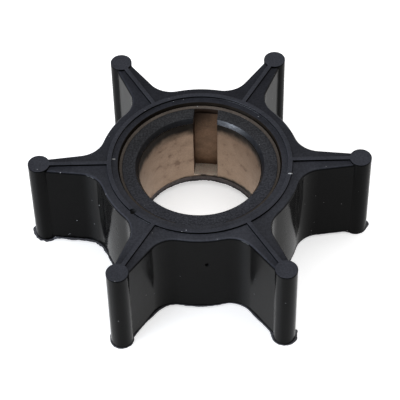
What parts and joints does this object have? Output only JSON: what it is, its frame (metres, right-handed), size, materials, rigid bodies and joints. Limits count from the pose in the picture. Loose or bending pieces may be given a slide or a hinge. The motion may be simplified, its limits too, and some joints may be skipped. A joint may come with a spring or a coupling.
{
  "type": "flexible pump impeller",
  "caption": "Flexible rubber pump impeller with beaded radial vanes, moulded on to a bronze bush with a keyed shaft bore.",
  "frame": {"origin": "on the axis of the shaft bore, level with the lower ends of the vane beads that the impeller rests on", "axes": "+Z along the bore towards the end where the keyway opens, +X along one vane, the keyway near +Y"},
  "size_m": [0.042, 0.0368, 0.0132],
  "materials": {
    "rubber": "black nitrile rubber, matt with a soft sheen, as moulded",
    "bronze": "turned bronze, dull brown and slightly tarnished"
  },
  "bodies": {
    "root": {"rubber_body": "rubber", "bronze_bush": "bronze"}
  },
  "joints": []
}
